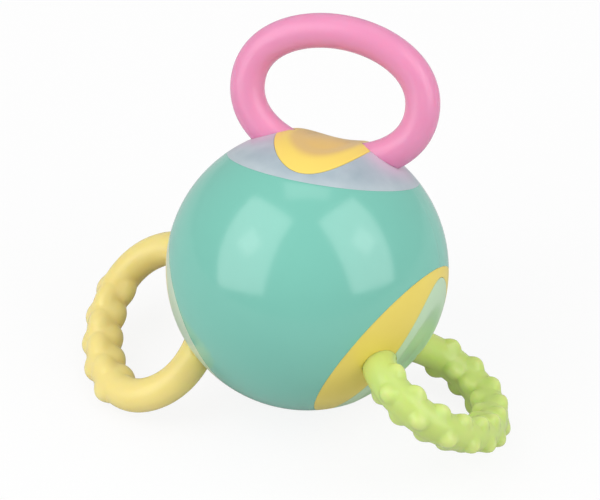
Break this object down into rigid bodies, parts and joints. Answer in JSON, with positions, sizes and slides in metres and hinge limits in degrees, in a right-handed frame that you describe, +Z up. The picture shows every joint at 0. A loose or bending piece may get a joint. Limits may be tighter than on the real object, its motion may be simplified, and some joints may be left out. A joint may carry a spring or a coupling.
{
  "type": "rattle ball",
  "caption": "Hollow screwed ball with loose beads inside and swivelling oval teething rings set in round caps.",
  "frame": {"origin": "on the floor, below the middle of the resting toy's box", "axes": "+Z up, +X from the yellow ring towards the green ring, -Y towards the front half of the ball"},
  "size_m": [0.1488, 0.0906, 0.1178],
  "materials": {
    "ball_teal": "polished moulded plastic",
    "ring_pink": "satin soft rubber",
    "ring_yellow": "satin soft rubber",
    "ring_green": "satin soft rubber",
    "cap_frosted": "frosted clear plastic",
    "cap_golden": "translucent moulded plastic",
    "saddle_golden": "translucent moulded plastic",
    "saddle_mint": "frosted moulded plastic",
    "hub_white": "plain moulded plastic",
    "washer_grey": "matte sheet",
    "screw_steel": "zinc plated",
    "bead_red": "polished moulded plastic"
  },
  "bodies": {
    "ball": {"front_shell": "ball_teal", "rear_shell": "ball_teal", "shell_screw_1": "screw_steel", "shell_screw_2": "screw_steel", "shell_screw_3": "screw_steel"},
    "top_handle": {"top_ring": "ring_pink", "top_cap": "cap_frosted", "top_saddle": "saddle_golden", "top_hub": "hub_white", "top_washer": "washer_grey", "top_clamp_screw_1": "screw_steel", "top_clamp_screw_2": "screw_steel"},
    "left_handle": {"left_ring": "ring_yellow", "left_cap": "cap_frosted", "left_saddle": "saddle_golden", "left_hub": "hub_white", "left_washer": "washer_grey", "left_clamp_screw_1": "screw_steel", "left_clamp_screw_2": "screw_steel"},
    "right_handle": {"right_ring": "ring_green", "right_cap": "cap_golden", "right_saddle": "saddle_mint", "right_hub": "hub_white", "right_washer": "washer_grey", "right_clamp_screw_1": "screw_steel", "right_clamp_screw_2": "screw_steel"},
    "bead_1": {"rattle_bead_1": "bead_red"},
    "bead_2": {"rattle_bead_2": "bead_red"},
    "bead_3": {"rattle_bead_3": "bead_red"},
    "bead_4": {"rattle_bead_4": "bead_red"},
    "bead_5": {"rattle_bead_5": "bead_red"},
    "bead_6": {"rattle_bead_6": "bead_red"}
  },
  "joints": [
    {"name": "top_swivel", "type": "hinge", "parent": "ball", "child": "top_handle", "pos_m": [0.00025, 0.00039, 0.045], "axis": [-0.0451, 0.4738, 0.8795], "continuous": true},
    {"name": "left_swivel", "type": "hinge", "parent": "ball", "child": "left_handle", "pos_m": [0.00025, 0.00039, 0.045], "axis": [-0.8426, -0.2554, -0.4741], "continuous": true},
    {"name": "right_swivel", "type": "hinge", "parent": "ball", "child": "right_handle", "pos_m": [0.00025, 0.00039, 0.045], "axis": [0.8877, -0.2184, -0.4054], "continuous": true},
    {"name": "bead_1_roll", "type": "hinge", "parent": "ball", "child": "bead_1", "pos_m": [0.00025, 0.00039, 0.045], "axis": [1, 0, 0], "range_deg": [-18, 0]},
    {"name": "bead_2_roll", "type": "hinge", "parent": "ball", "child": "bead_2", "pos_m": [0.00025, 0.00039, 0.045], "axis": [1, 0, 0], "range_deg": [-40, 0]},
    {"name": "bead_3_roll", "type": "hinge", "parent": "ball", "child": "bead_3", "pos_m": [0.00025, 0.00039, 0.045], "axis": [1, 0, 0], "range_deg": [-40, 0]},
    {"name": "bead_4_roll", "type": "hinge", "parent": "ball", "child": "bead_4", "pos_m": [0.00025, 0.00039, 0.045], "axis": [1, 0, 0], "range_deg": [0, 28]},
    {"name": "bead_5_roll", "type": "hinge", "parent": "ball", "child": "bead_5", "pos_m": [0.00025, 0.00039, 0.045], "axis": [1, 0, 0], "range_deg": [0, 26]},
    {"name": "bead_6_roll", "type": "hinge", "parent": "ball", "child": "bead_6", "pos_m": [0.00025, 0.00039, 0.045], "axis": [1, 0, 0], "range_deg": [0, 35]}
  ]
}
